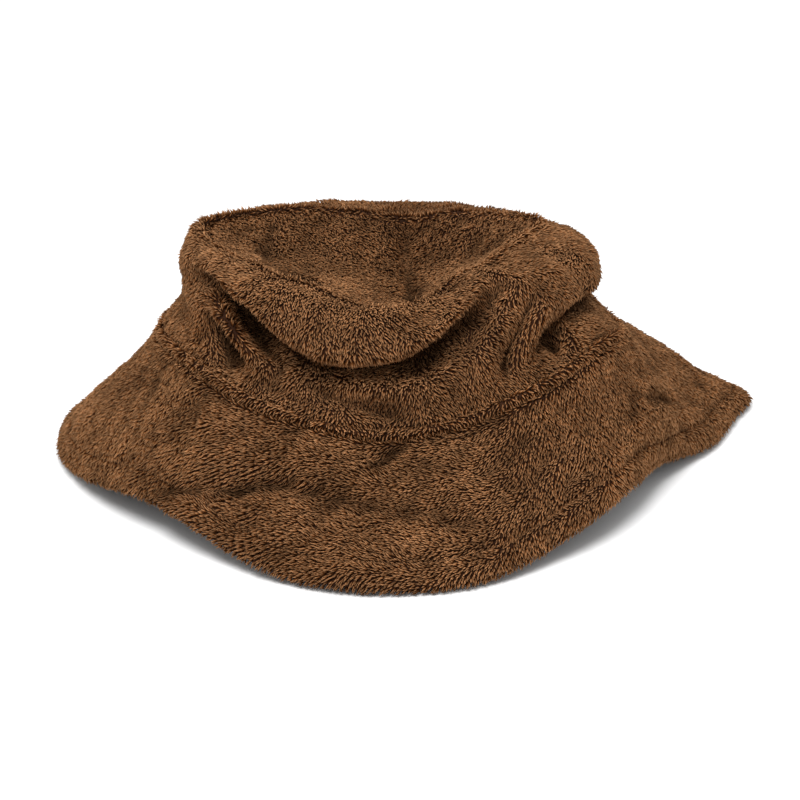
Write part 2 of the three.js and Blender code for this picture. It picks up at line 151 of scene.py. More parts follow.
# Creases: depth (negative) or ridge height, half width, then points as (azimuth, station)
CREASES = [
    (3.2, 5.5, [(313, 5.9), (306, 6.6), (296, 7.3), (291, 7.9)]),
    (-3.6, 3.6, [(313, 6.6), (304, 7.5), (300, 8.1)]),
    (2.6, 4.5, [(320, 6.4), (314, 7.3), (309, 8.1)]),
    (-6.0, 4.0, [(325, 8.4), (319, 8.9)]),
    (3.0, 4.0, [(206, 5.9), (216, 6.7), (225, 7.4), (231, 8.0)]),
    (-3.2, 4.0, [(207, 7.0), (214, 7.7), (221, 8.4)]),
    (-4.0, 4.0, [(206, 5.5), (216, 6.1), (226, 6.5), (236, 6.9)]),
    (-3.0, 4.5, [(244, 7.0), (254, 7.5), (264, 7.9), (272, 8.2)]),
    (-1.9, 5.0, [(224, 12.75), (237, 11.9), (246, 11.3), (254, 11.2)]),
    (-1.6, 6.0, [(252, 11.3), (263, 11.25), (274, 11.5), (286, 11.9)]),
    (-1.6, 3.0, [(274, 10.25), (270, 10.4), (267, 10.6)]),
    (-2.4, 3.5, [(341, 11.35), (352, 11.45)]),
    (1.8, 4.0, [(340, 11.1), (352, 11.2)]),
    (-6.0, 15.0, [(86, 2.4), (70, 0.6), (290, 0.6), (276, 2.4)]),
    (-2.6, 3.5, [(84, 2.3), (66, 0.6), (292, 0.6), (277, 2.6)]),
    (-5.0, 5.0, [(238, 2.2), (247, 2.45), (256, 2.5), (266, 2.4)]),
    (-2.2, 4.0, [(147, 2.0), (186, 1.6)]),
    (-2.6, 4.5, [(186, 1.3), (200, 1.1), (206, 1.5)]),
    (-2.2, 4.0, [(38, 1.9), (36, 1.2)]),
]

# ---- The cloth, as depths under the outer surface ----
CLOTH = (2.2, 3.0)
LINING = (3.4, 4.2)
INTERLINING = (3.15, 3.75)
BRIM_THICKNESS = 6.4
SWEATBAND = (4.6, 5.8)
LABEL = (6.2, 6.7)

# ---- Seams: distances in millimetres along the cloth from the joint ----
WELT_WIDTH = 4.6                # the seam allowance under the cloth makes a welt this wide
HEM_STITCH_INSET = 9.0

# Grooves pressed along the seams: depth, half width
TIP_GROOVE, TIP_STITCH_GROOVE = (1.7, 0.8), (0.9, 0.9)
BASE_GROOVE, BASE_STITCH_GROOVE = (2.1, 0.9), (1.1, 0.9)
HEM_GROOVE_WIDTH = 1.8
TIP_WELT, BASE_WELT = 0.9, 1.1  # heights of the welts beside those seams
HEM_SWELL = 0.4                 # height of the roll outside the hem's stitches, as a share of the groove
# Depth of the groove at the hem's stitches: azimuth, depth
HEM_PULL = [(0, 0.9), (90, 0.5), (180, 0.4), (225, 0.2), (265, 0.3), (300, 0.8), (330, 1.1)]
STITCH_LENGTH, STITCH_GAP, THREAD_RADIUS = 2.4, 0.7, 0.22
TOPSTITCH_DEPTH = 1.95          # topstitches lie just above the knitted ground, among the pile
BAND_STITCH_OFFSET = -4.0       # the sweatband's stitches, from the base seam towards the tip

# Unevenness of the cloth: height, wavelength
UNEVEN = [(0.55, 30), (0.28, 12)]


def knot_slopes(knots, values):
    """Slope at each knot, from the parabola through it and its two neighbours."""
    width = np.diff(knots).reshape((-1,) + (1,) * (values.ndim - 1))
    rise = np.diff(values, axis=0) / width
    slopes = np.empty_like(values)
    slopes[0], slopes[-1] = rise[0], rise[-1]
    slopes[1:-1] = (rise[1:] * width[:-1] + rise[:-1] * width[1:]) / (width[:-1] + width[1:])
    return slopes


def smooth_curve(at, knots, values):
    """Smooth cubic curve through values at the knots, read at every place in `at`."""
    knots, values = np.asarray(knots, float), np.asarray(values, float)
    slopes = knot_slopes(knots, values)
    span = np.clip(np.searchsorted(knots, at, side="right") - 1, 0, len(knots) - 2)
    shape = (-1,) + (1,) * (values.ndim - 1)
    width = (knots[span + 1] - knots[span]).reshape(shape)
    t = (at - knots[span]).reshape(shape) / width
    start = (2 * t**3 - 3 * t**2 + 1) * values[span] + (t**3 - 2 * t**2 + t) * width * slopes[span]
    end = (3 * t**2 - 2 * t**3) * values[span + 1] + (t**3 - t**2) * width * slopes[span + 1]
    return start + end


def turn_curve(azimuths, points):
    """The same kind of curve round a closed turn, through points given as (azimuth, value, ...)."""
    table = np.array(sorted(points), float)
    knots = np.concatenate([table[-3:, 0] - FULL_TURN, table[:, 0], table[:3, 0] + FULL_TURN])
    values = np.concatenate([table[-3:, 1:], table[:, 1:], table[:3, 1:]])
    return smooth_curve(np.mod(azimuths, FULL_TURN), knots, values)


def hem_lift(azimuths):
    """Height of the hem's soft waves above the table."""
    lift = np.zeros(len(azimuths))
    for top, half_span, height in HEM_WAVES:
        turn = np.abs((azimuths - top + FULL_TURN / 2) % FULL_TURN - FULL_TURN / 2)
        lift += height * (1 + np.cos(np.pi * np.minimum(turn / half_span, 1))) / 2
    return lift


def outline_points(azimuths, stations):
    """The plain outer surface, with no creases: an array of columns by stations by xyz."""
    rings = {station: turn_curve(azimuths, points) for station, points in RINGS.items()}
    seam, drop = rings[TIP_SEAM], turn_curve(azimuths, RIM_DROP)[:, 0]
    rim_height = seam[:, 1] - drop
    middle_height = TIP_CENTRE_HEIGHT + TIP_MIDDLE_RISE * (rim_height - TIP_CENTRE_HEIGHT)
    rings[TIP_RIM] = np.stack([seam[:, 0] * TIP_RIM_REACH, rim_height], -1)
    rings[TIP_MIDDLE] = np.stack([seam[:, 0] * TIP_MIDDLE_REACH, middle_height], -1)
    rings[TIP_CENTRE] = np.stack([0 * drop, 0 * drop + TIP_CENTRE_HEIGHT], -1)
    for station, share in WAVE_SHARE.items():
        rings[station][:, 1] += share * hem_lift(azimuths)
    profile = np.stack([rings[station] for station in range(HEM + 1)])
    section = smooth_curve(stations, np.arange(HEM + 1), profile).transpose(1, 0, 2)
    angle = np.radians(azimuths)[:, None]
    x, y = section[..., 0] * np.cos(angle), section[..., 0] * np.sin(angle)
    return np.stack([x, y, section[..., 1]], -1)


def unit(vectors):
    return vectors / (np.linalg.norm(vectors, axis=-1, keepdims=True) + 1e-12)


def grid_normals(points):
    """Outward normals of a closed turn of columns."""
    around = np.roll(points, -1, 0) - np.roll(points, 1, 0)
    down = np.gradient(points, axis=1)
    normals = unit(np.cross(down, around))
    normals[:, 0] = (0, 0, 1)
    return normals


def bump(distance, width):
    """A smooth bump that is 1 at no distance and fades over about this width."""
    return np.exp(-((distance / width) ** 2))


def groove(distance, depth_and_width):
    depth, width = depth_and_width
    return depth * bump(distance, width)


def hump(distance, start, end):
    """A round hump between two distances, nothing outside them."""
    share = np.clip((distance - start) / (end - start), 0, 1)
    return np.sin(np.pi * share) ** 0.8 * (share > 0) * (share < 1)


def distance_to_line(points, line):
    """Distance from every point to a chain of points, and how far along the chain, from 0 to 1."""
    nearest = np.full(points.shape[:-1], np.inf)
    along = np.zeros(points.shape[:-1])
    spans = len(line) - 1
    for i in range(spans):
        step = line[i + 1] - line[i]
        t = np.clip((points - line[i]) @ step / (step @ step), 0, 1)
        distance = np.linalg.norm(points - line[i] - t[..., None] * step, axis=-1)
        closer = distance < nearest
        nearest = np.where(closer, distance, nearest)
        along = np.where(closer, (i + t) / spans, along)
    return nearest, along


def waves(points, random, length, count=14):
    """Smooth seeded unevenness of about this wavelength, from about -1 to 1."""
    directions = unit(random.normal(size=(count, 3)))
    turns = 2 * np.pi / (length * random.uniform(0.7, 1.5, count))
    phases = random.uniform(0, 2 * np.pi, count)
    total = np.zeros(points.shape[:-1])
    for direction, turn, phase in zip(directions, turns, phases):
        total += np.cos(points @ direction * turn + phase)
    return total / math.sqrt(count / 2) / 1.5


class Surface:
    """The hat's outer surface on a fine grid of azimuths and stations."""

    COLUMNS = 1080
    ROWS_PER_STATION = 32

    def __init__(self):
        self.azimuths = np.arange(self.COLUMNS) * FULL_TURN / self.COLUMNS
        self.stations = np.linspace(0, HEM, HEM * self.ROWS_PER_STATION + 1)
        self.points = outline_points(self.azimuths, self.stations)
        self.smooth_normals = grid_normals(self.points)
        self.press(self.creases())
        self.arcs = self.arc_lengths()
        self.press(self.seam_profiles())
        self.normals = grid_normals(self.points)
        around = np.roll(self.points, -1, 0) - np.roll(self.points, 1, 0)
        self.around = unit(around)
        self.around[:, 0] = self.around[:, 1]
        self.relief = self.normals - self.blurred_normals(32, 24)
        self.soft_normals = self.blurred_normals(16, 12)
        self.hollow = self.hollows()

    def press(self, height):
        self.points = self.points + self.smooth_normals * height[..., None]

    def creases(self):
        random = np.random.default_rng(11)
        fade = np.clip(self.stations / TIP_MIDDLE, 0, 1) * np.clip(HEM + 0.6 - self.stations, 0, 1)
        height = sum(size * waves(self.points, random, length) for size, length in UNEVEN)
        height *= fade
        for size, width, places in CREASES:
            line = np.array([self.place(azimuth, station) for azimuth, station in places])
            distance, along = distance_to_line(self.points, line)
            strength = np.sin(np.pi * (0.15 + 0.7 * along))     # strongest at its middle
            height += size * bump(distance, width) * strength
        return height

    def place(self, azimuth, station):
        column = int(round(azimuth / FULL_TURN * self.COLUMNS)) % self.COLUMNS
        return self.points[column, int(round(station * self.ROWS_PER_STATION))]

    def arc_lengths(self):
        steps = np.linalg.norm(np.diff(self.points, axis=1), axis=-1)
        return np.concatenate([np.zeros((self.COLUMNS, 1)), np.cumsum(steps, axis=1)], axis=1)

    def distance_from(self, station):
        """Distance along the cloth from a station's ring, positive towards the hem."""
        return self.arcs - self.arcs[:, [int(station * self.ROWS_PER_STATION)]]

    def seam_profiles(self):
        """Height of the grooves and welts that the seams and rows of stitches make."""
        tip, base = self.distance_from(TIP_SEAM), self.distance_from(BASE_SEAM)
        inset = -self.distance_from(HEM)
        height = -groove(tip, TIP_GROOVE) + TIP_WELT * hump(tip, 0.4, WELT_WIDTH)
        height += -groove(tip - WELT_WIDTH, TIP_STITCH_GROOVE)
        height += -groove(base, BASE_GROOVE) + BASE_WELT * hump(base, -WELT_WIDTH, -0.3)
        height += -groove(base + WELT_WIDTH, BASE_STITCH_GROOVE)
        pull = turn_curve(self.azimuths, HEM_PULL)
        swell = HEM_SWELL * hump(inset, 0.5, HEM_STITCH_INSET)
        height += pull * (swell - bump(inset - HEM_STITCH_INSET, HEM_GROOVE_WIDTH))
        return height

    def blurred_normals(self, rows, columns):
        """Normals averaged over so many rows and columns each way, so that small folds drop out."""
        total = np.zeros_like(self.normals)
        for shift in range(-rows, rows + 1, 4):
            near = np.clip(np.arange(len(self.stations)) + shift, 0, len(self.stations) - 1)
            total += self.normals[:, near]
        turned = np.zeros_like(total)
        for shift in range(-columns, columns + 1, 4):
            turned += np.roll(total, shift, 0)
        return unit(turned)

    def hollows(self, columns=10, rows=12):
        """How far each place lies below its surroundings, in millimetres."""
        edge = np.pad(self.points, ((0, 0), (rows, rows), (0, 0)), mode="edge")
        round_about = np.roll(self.points, columns, 0) + np.roll(self.points, -columns, 0)
        round_about += edge[:, : -2 * rows] + edge[:, 2 * rows:]
        return ((round_about / 4 - self.points) * self.normals).sum(-1)

    def read(self, grid, azimuths, stations):
        """Values of a grid at any azimuths and stations, straight between its points."""
        column = np.mod(azimuths, FULL_TURN) / FULL_TURN * self.COLUMNS
        row = np.clip(stations, 0, HEM) * self.ROWS_PER_STATION
        c, r = column.astype(int), np.minimum(row.astype(int), len(self.stations) - 2)
        s, t = column - c, row - r
        s, t = (s[..., None], t[..., None]) if grid.ndim == 3 else (s, t)
        c, n = c % self.COLUMNS, (c + 1) % self.COLUMNS
        near = grid[c, r] * (1 - t) + grid[c, r + 1] * t
        far = grid[n, r] * (1 - t) + grid[n, r + 1] * t
        return near * (1 - s) + far * s

    def station_at(self, azimuths, station, offset):
        """Stations of a row that runs `offset` millimetres from a seam, towards the hem."""
        columns = np.mod(np.round(azimuths / FULL_TURN * self.COLUMNS).astype(int), self.COLUMNS)
        distance = self.distance_from(station)
        return np.array([np.interp(offset, distance[c], self.stations) for c in columns])


surface = Surface()

# The shift from the head axis to the frame's origin, which is below the middle of the CAD box
outline = surface.points.reshape(-1, 3)
low, high = outline.min(0), outline.max(0)
cad_middle = np.array((CAD_LOW + CAD_HIGH) / 2) / MM
SHIFT = np.array([cad_middle[0] - (low[0] + high[0]) / 2, cad_middle[1] - (low[1] + high[1]) / 2, 0.0])


# ---- One run of stations: the hat's outer side, round the edge of the hem, back under the brim ----
ROUND_END = HEM + 1
UNDER_END = ROUND_END + HEM - BASE_SEAM


def upper_station(stations):
    """The station on the upper side that lies over each station of the run."""
    return np.where(stations > HEM, HEM - np.maximum(stations - ROUND_END, 0), stations)


def cloth_places(azimuths, stations, depth):
    """Points and normals at a depth. Past the hem the run goes round its edge and back underneath.

    Depths are measured along averaged normals, so that the plies don't cross inside a tight fold.
    """
    above = upper_station(stations)
    points = surface.read(surface.points, azimuths, above)
    normals = unit(surface.read(surface.normals, azimuths, above))
    soft = unit(surface.read(surface.soft_normals, azimuths, above))
    around = unit(surface.read(surface.around, azimuths, above))
    down = unit(np.cross(around, soft))
    half = BRIM_THICKNESS / 2
    depth = np.asarray(depth)[..., None]
    turn = np.clip(stations - HEM, 0, 1)[..., None] * np.pi
    outward = np.where(turn > 0, np.cos(turn) * soft + np.sin(turn) * down, normals)
    centre = points - half * soft
    edge = centre + (half - depth) * outward
    return np.where(turn > 0, edge, points - depth * soft), outward


# ---- Meshes ----


def new_piece(name, points, faces, material):
    mesh = bpy.data.meshes.new(name)
    mesh.from_pydata(((points + SHIFT) * MM).tolist(), [], faces)
    mesh.update()
    mesh.shade_smooth()
    mesh.materials.append(material)
    piece = bpy.data.objects.new(name, mesh)
    bpy.context.scene.collection.objects.link(piece)
    return piece


def quads(numbers):
    """Faces between neighbouring columns and rows of an array of vertex numbers."""
    a, b = numbers[:-1, :-1], numbers[:-1, 1:]
    c, d = numbers[1:, 1:], numbers[1:, :-1]
    return np.stack([a, b, c, d], -1).reshape(-1, 4)


def closed_shell(name, outer, inner, material, ring=False, disc=False):
    """A closed sheet of cloth between two grids of points, columns by rows."""
    columns, rows = outer.shape[:2]
    size = columns * rows
    points = np.concatenate([outer.reshape(-1, 3), inner.reshape(-1, 3)])
    top = np.arange(size).reshape(columns, rows)
    if disc:
        top[:, 0] = top[0, 0]
    under = top + size
    if ring:
        top, under = np.vstack([top, top[:1]]), np.vstack([under, under[:1]])
    parts = [quads(top), quads(under)[:, ::-1], quads(np.stack([top[:, -1], under[:, -1]], 1))]
    if not disc:
        parts.append(quads(np.stack([under[:, 0], top[:, 0]], 1)))
    if not ring:
        parts.append(quads(np.stack([under[0], top[0]], 0)))
        parts.append(quads(np.stack([top[-1], under[-1]], 0)))
    faces = []
    for face in np.concatenate(parts).tolist():
        corners = list(dict.fromkeys(face))
        if len(corners) > 2:
            faces.append(corners)
    used = sorted({v for face in faces for v in face})
    renumber = {v: i for i, v in enumerate(used)}
    faces = [[renumber[v] for v in face] for face in faces]
    return new_piece(name, points[used], faces, material)


def ply(name, azimuths, stations, depths, material, **shape):
    a, s = np.meshgrid(azimuths, stations, indexing="ij")
    outer, _ = cloth_places(a, s, depths[0])
    inner, _ = cloth_places(a, s, depths[1])
    return closed_shell(name, outer, inner, material, **shape)


# ---- Materials ----


def node_material(name):
    material = bpy.data.materials.new(name)
    material.use_nodes = True
    nodes, links = material.node_tree.nodes, material.node_tree.links
    return material, nodes, links, nodes["Principled BSDF"]


def ramp(nodes, stops):
    node = nodes.new("ShaderNodeValToRGB")
    elements = node.color_ramp.elements
    while len(elements) < len(stops):
        elements.new(0.5)
    for element, (position, colour) in zip(elements, stops):
        element.position = position
        element.color = (*colour, 1)
    return node


def noise(nodes, links, scale, detail=3.0, roughness=0.55):
    coordinates = nodes.new("ShaderNodeTexCoord")
    node = nodes.new("ShaderNodeTexNoise")
    node.inputs["Scale"].default_value = scale
    node.inputs["Detail"].default_value = detail
    node.inputs["Roughness"].default_value = roughness
    links.new(coordinates.outputs["Object"], node.inputs["Vector"])
    return node


def bumpy(nodes, links, shader, height, strength, distance):
    node = nodes.new("ShaderNodeBump")
    node.inputs["Strength"].default_value = strength
    node.inputs["Distance"].default_value = distance
    links.new(height, node.inputs["Height"])
    links.new(node.outputs["Normal"], shader.inputs["Normal"])


# The root colour is painted shade: the dark deep in the pile, between the tufts.
PILE_ROOT_PAINTED_SHADE = (0.026, 0.0066, 0.001)
PILE_MIDDLE = (0.112, 0.040, 0.012)
PILE_TIP = (0.490, 0.258, 0.122)


def pile_material():
    """Tufts: roots painted dark for the shade deep in the pile, light tips, each tuft a little different,
    over broad lighter patches, and painted shade on tufts in creases and hollows.
    """
    material, nodes, links, shader = node_material("brown_pile")
    tone = nodes.new("ShaderNodeAttribute")
    tone.attribute_name = "tuft"
    split = nodes.new("ShaderNodeSeparateColor")
    links.new(tone.outputs["Color"], split.inputs["Color"])
    along = ramp(nodes, [(0.0, PILE_ROOT_PAINTED_SHADE), (0.5, PILE_MIDDLE), (1.0, PILE_TIP)])
    links.new(split.outputs["Red"], along.inputs["Fac"])
    shade = nodes.new("ShaderNodeHueSaturation")
    value = nodes.new("ShaderNodeMapRange")
    value.inputs["To Min"].default_value = 0.5
    value.inputs["To Max"].default_value = 1.34
    links.new(split.outputs["Green"], value.inputs["Value"])
    patches = noise(nodes, links, 55.0)
    patch_value = nodes.new("ShaderNodeMapRange")
    patch_value.inputs["From Min"].default_value = 0.3
    patch_value.inputs["From Max"].default_value = 0.7
    patch_value.inputs["To Min"].default_value = 0.72
    patch_value.inputs["To Max"].default_value = 1.2
    links.new(patches.outputs["Fac"], patch_value.inputs["Value"])
    # Painted shade: tufts in creases and hollows are darkened, down to about a quarter of their colour,
    # as if shade fell there.
    painted_fold_shade = nodes.new("ShaderNodeMapRange")
    painted_fold_shade.inputs["To Min"].default_value = 0.26
    painted_fold_shade.inputs["To Max"].default_value = 1.12
    links.new(split.outputs["Blue"], painted_fold_shade.inputs["Value"])
    product = value.outputs["Result"]
    for factor in (patch_value, painted_fold_shade):
        both = nodes.new("ShaderNodeMath")
        both.operation = "MULTIPLY"
        links.new(product, both.inputs[0])
        links.new(factor.outputs["Result"], both.inputs[1])
        product = both.outputs["Value"]
    links.new(product, shade.inputs["Value"])
    links.new(along.outputs["Color"], shade.inputs["Color"])
    shader.inputs["Base Color"].default_value = (*PILE_MIDDLE, 1)
    links.new(shade.outputs["Color"], shader.inputs["Base Color"])
    shader.inputs["Roughness"].default_value = 0.72
    shader.inputs["Specular IOR Level"].default_value = 0.02
    return material


def cloth_material(name, dark, light, weave_scale, roughness=0.85):
    """Woven or knitted cloth: two sets of ribs cross, with uneven dye."""
    material, nodes, links, shader = node_material(name)
    dye = noise(nodes, links, 60.0)
    colour = ramp(nodes, [(0.3, dark), (0.7, light)])
    links.new(dye.outputs["Fac"], colour.inputs["Fac"])
    links.new(colour.outputs["Color"], shader.inputs["Base Color"])
    coordinates = nodes.new("ShaderNodeTexCoord")
    ribs = []
    for direction in ("X", "Z"):
        wave = nodes.new("ShaderNodeTexWave")
        wave.bands_direction = direction
        wave.inputs["Scale"].default_value = weave_scale
        wave.inputs["Distortion"].default_value = 0.6
        links.new(coordinates.outputs["Object"], wave.inputs["Vector"])
        ribs.append(wave)
    weave = nodes.new("ShaderNodeMath")
    weave.operation = "MULTIPLY"
    links.new(ribs[0].outputs["Fac"], weave.inputs[0])
    links.new(ribs[1].outputs["Fac"], weave.inputs[1])
    bumpy(nodes, links, shader, weave.outputs["Value"], 0.5, 0.0003)
    shader.inputs["Roughness"].default_value = roughness
    shader.inputs["Specular IOR Level"].default_value = 0.15
    return material


pile = pile_material()
knit = cloth_material("knitted_ground", (0.020, 0.006, 0.0015), (0.034, 0.011, 0.003), 900)
cotton = cloth_material("lining_cotton", (0.060, 0.032, 0.016), (0.085, 0.048, 0.027), 1100)
twill = cloth_material("sweatband_twill", (0.040, 0.022, 0.012), (0.060, 0.034, 0.020), 700)
stiffening = cloth_material("interlining", (0.70, 0.66, 0.58), (0.80, 0.77, 0.70), 500)
satin = cloth_material("label_satin", (0.62, 0.54, 0.42), (0.70, 0.63, 0.52), 1500, 0.5)
thread = cloth_material("thread", (0.020, 0.009, 0.004), (0.040, 0.020, 0.010), 2500, 0.6)


# ---- The plies of cloth ----
SEAM_SPLIT = 0.03               # half of the gap at a side seam, in degrees
SEAM_EDGE = 0.003               # half of the gap at a ring seam, in stations
FRONT = np.linspace(180 + SEAM_SPLIT, 360 - SEAM_SPLIT, 181)
BACK = np.linspace(SEAM_SPLIT, 180 - SEAM_SPLIT, 181)
WHOLE = np.arange(0, 360, 1.0)
TIP_ROWS = np.concatenate([np.arange(0, 2.8, 0.1), np.linspace(2.8, TIP_SEAM - SEAM_EDGE, 6)])
CROWN_ROWS = np.concatenate([
    np.linspace(TIP_SEAM + SEAM_EDGE, 3.5, 12),
    np.arange(3.6, 9.2, 0.1),
    np.linspace(9.2, BASE_SEAM - SEAM_EDGE, 18),
])
BRIM_ROWS = np.concatenate([
    np.linspace(BASE_SEAM + SEAM_EDGE, 10.3, 8),
    np.arange(10.4, 12.2, 0.1),
    np.linspace(12.2, HEM, 26),
    np.linspace(HEM, HEM + 0.48, 7)[1:],
])
UNDER_ROWS = np.concatenate([
    np.linspace(HEM + 0.52, ROUND_END, 7)[:-1],
    np.linspace(ROUND_END, 14.8, 12),
    np.arange(14.9, 16.9, 0.1),
    [UNDER_END - SEAM_EDGE],
])
STIFFENING_ROWS = BRIM_ROWS[BRIM_ROWS < HEM - 0.1]
BAND_ROWS = np.linspace(7.6, 9.85, 18)
LABEL_ROWS = np.linspace(8.3, 9.4, 9)
LABEL_COLUMNS = np.linspace(82, 98, 17)


def sheet(piece, node):
    """Attaches a piece of cloth to the root body and hides the CAD node that it stands for."""
    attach(piece, "root")
    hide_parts(node)


cloth = {
    "tip": ply("tip_cloth", WHOLE, TIP_ROWS, CLOTH, knit, ring=True, disc=True),
    "crown_front": ply("crown_front_cloth", FRONT, CROWN_ROWS, CLOTH, knit),
    "crown_back": ply("crown_back_cloth", BACK, CROWN_ROWS, CLOTH, knit),
    "brim_front": ply("brim_front_upper_cloth", FRONT, BRIM_ROWS, CLOTH, knit),
    "brim_back": ply("brim_back_upper_cloth", BACK, BRIM_ROWS, CLOTH, knit),
    "under_front": ply("brim_front_under_cloth", FRONT, UNDER_ROWS, CLOTH, knit),
    "under_back": ply("brim_back_under_cloth", BACK, UNDER_ROWS, CLOTH, knit),
}
interlining = ply("brim_stiffening", WHOLE, STIFFENING_ROWS, INTERLINING, stiffening, ring=True)
tip_lining = ply("tip_lining_cloth", WHOLE, TIP_ROWS, LINING, cotton, ring=True, disc=True)
front_lining = ply("crown_front_lining_cloth", FRONT, CROWN_ROWS, LINING, cotton)
back_lining = ply("crown_back_lining_cloth", BACK, CROWN_ROWS, LINING, cotton)
sweatband = ply("sweatband_tape", WHOLE, BAND_ROWS, SWEATBAND, twill, ring=True)
label = ply("blank_size_label", LABEL_COLUMNS, LABEL_ROWS, LABEL, satin)


# ---- Pile: tufts of loops combed over, rooted in the knitted ground ----
PILE_DENSITY = 1.32             # tufts to a square millimetre
TIP_DENSITY = 1.5
UNDER_DENSITY = 0.55
TIP_TUFT_SIZE, UNDER_TUFT_SIZE = 0.94, 1.3      # shares of the usual size of a tuft
TUFT_LENGTH = 3.1
TUFT_RADIUS = 0.38
LENGTH_SPREAD, RADIUS_SPREAD = (0.75, 1.2), (0.8, 1.15)
ROOT_SHARE = 0.7                # a tuft's radius at its root, as a share of that at its middle
MIDDLE_TONE = 0.55              # how far along the colours from root to tip a tuft's middle is
ROOT_SINK = 0.15                # how deep a tuft starts in the knitted ground
RISE, DROOP = (47, 10), (15, 12)    # angle above the cloth of a tuft's halves: mean, spread in degrees
SEAM_CLEAR, SEAM_SHORT = 0.2, 1.4   # no tuft this near a seam's line, and shorter ones out to here
SHORTEST = 0.55                 # share of the length left beside a seam
PAINTED_SHADE_HOLLOW_RANGE = (-0.6, 1.4)      # from no painted shade to full painted shade, as millimetres below the surroundings
NO_SEAM_NEAR = 9.0
STEP_X, STEP_Y = 0.7548776662, 0.5698402910     # an even, never repeating sequence of places

# Direction of the nap: degrees turned from straight down the hat towards a greater azimuth
NAP_BRIM = [(0, 0), (25, 0), (60, 0), (90, 5), (140, 0), (180, 10), (205, -5), (230, -50), (255, -80),
            (280, -85), (300, -60), (318, -25), (340, 0)]
NAP_WALL = [(0, 0), (60, 0), (120, 5), (180, 0), (215, -12), (250, 0), (290, 0), (320, 8)]
NAP_TIP_LEFT, NAP_TIP_RIGHT = (0.7, -0.7, 0.0), (-0.6, -0.75, 0.0)
TIP_CREASE_X = 6.0
NAP_WANDER = [(22, 34), (13, 11)]   # slow swirls in the nap: degrees, wavelength
NAP_SCATTER = 9                     # degrees from tuft to tuft
TIP_SCATTER = 0.45
NAP_RELIEF = 1.25                   # how much the nap is turned to point away from ridges
TABLE_ROOM, TABLE_SQUEEZE, TABLE_REACH = 0.1, 1.1, 1.2


def smooth_step(value, low, high):
    share = np.clip((value - low) / (high - low), 0, 1)
    return share * share * (3 - 2 * share)


def scatter(azimuths, stations, density):
    """Places spread evenly over the cloth between the given columns and rows."""
    a, s = np.meshgrid(azimuths, stations, indexing="ij")
    points, _ = cloth_places(a, s, CLOTH[0])
    sideways, along = points[1:, :-1] - points[:-1, :-1], points[:-1, 1:] - points[:-1, :-1]
    area = np.linalg.norm(np.cross(sideways, along), axis=-1) + 1e-9
    count = np.arange(1, int(area.sum() * density) + 1)
    u, v = (0.5 + count * STEP_X) % 1, (0.5 + count * STEP_Y) % 1
    columns = np.concatenate([[0], np.cumsum(area.sum(1))]) / area.sum()
    c = np.clip(np.searchsorted(columns, u, side="right") - 1, 0, len(area) - 1)
    share = (u - columns[c]) / (columns[c + 1] - columns[c])
    azimuth = azimuths[c] + share * (azimuths[c + 1] - azimuths[c])
    rows = np.concatenate([np.zeros((len(area), 1)), np.cumsum(area, axis=1)], axis=1)
    rows /= rows[:, -1:]
    ladder = (rows * 0.999999 + np.arange(len(rows))[:, None]).ravel()
    r = np.searchsorted(ladder, c + v * 0.999999, side="right") - 1 - c * rows.shape[1]
    r = np.clip(r, 0, rows.shape[1] - 2)
    share = (v - rows[c, r]) / (rows[c, r + 1] - rows[c, r] + 1e-12)
    return azimuth, stations[r] + share * (stations[r + 1] - stations[r])


def seam_distance(azimuths, stations):
    """Distance from the nearest seam or row of stitches, on the upper side of the cloth."""
    tip = surface.read(surface.distance_from(TIP_SEAM), azimuths, stations)
    base = surface.read(surface.distance_from(BASE_SEAM), azimuths, stations)
    inset = -surface.read(surface.distance_from(HEM), azimuths, stations)
    lines = [tip, tip - WELT_WIDTH, base, base + WELT_WIDTH]
    nearest = np.min(np.abs(lines), axis=0)
    nearest = np.minimum(nearest, np.abs(inset - HEM_STITCH_INSET) + SEAM_CLEAR)
    return np.where(stations > HEM, NO_SEAM_NEAR, nearest)


def across(vectors, normals):
    """What is left of the vectors in the plane across the normals."""
    return vectors - (vectors * normals).sum(-1, keepdims=True) * normals


def nap(azimuths, stations, points, outward, random):
    """Unit direction in which each tuft lies, along the cloth."""
    above = upper_station(stations)
    around = unit(across(surface.read(surface.around, azimuths, above), outward))
    down = unit(np.cross(around, outward))
    wall = turn_curve(azimuths, NAP_WALL)[:, 0]
    brim = turn_curve(azimuths, NAP_BRIM)[:, 0]
    angle = wall + (brim - wall) * smooth_step(stations, 9.9, 10.1)
    angle = angle * (1 - smooth_step(stations, 12.4, 13.2) * 0.6)
    wander = np.random.default_rng(5)
    for degrees, length in NAP_WANDER:
        angle = angle + degrees * waves(points, wander, length)
    angle = np.radians(angle + random.normal(size=len(angle)) * NAP_SCATTER)
    direction = np.cos(angle)[:, None] * down + np.sin(angle)[:, None] * around
    tip_way = np.where(points[:, :1] < TIP_CREASE_X, NAP_TIP_LEFT, NAP_TIP_RIGHT)
    tip_way = tip_way + TIP_SCATTER * random.normal(size=tip_way.shape)
    on_tip = (1 - smooth_step(stations, 2.85, 3.1))[:, None]
    direction = unit(direction * (1 - on_tip) + tip_way * on_tip)
    relief = surface.read(surface.relief, azimuths, above) * np.where(stations > HEM, 0, 1)[:, None]
    return unit(across(direction + NAP_RELIEF * relief, outward))


def pressed_on_table(height):
    """Heights of the pile that would reach below the table, squeezed down to just above it."""
    squeezed = TABLE_ROOM + TABLE_SQUEEZE * np.exp(np.minimum(height - TABLE_REACH, 0) / TABLE_SQUEEZE)
    return np.where(height < TABLE_REACH, squeezed, height)


# Points of one tuft: 0 to 2 round its root, 3 to 5 round its middle, 6 its tip
TUFT_POINTS = 7
TUFT_FACES = [
    (2, 1, 0), (0, 1, 4), (0, 4, 3), (1, 2, 5), (1, 5, 4), (2, 0, 3), (2, 3, 5), (3, 4, 6), (4, 5, 6),
    (5, 3, 6),
]


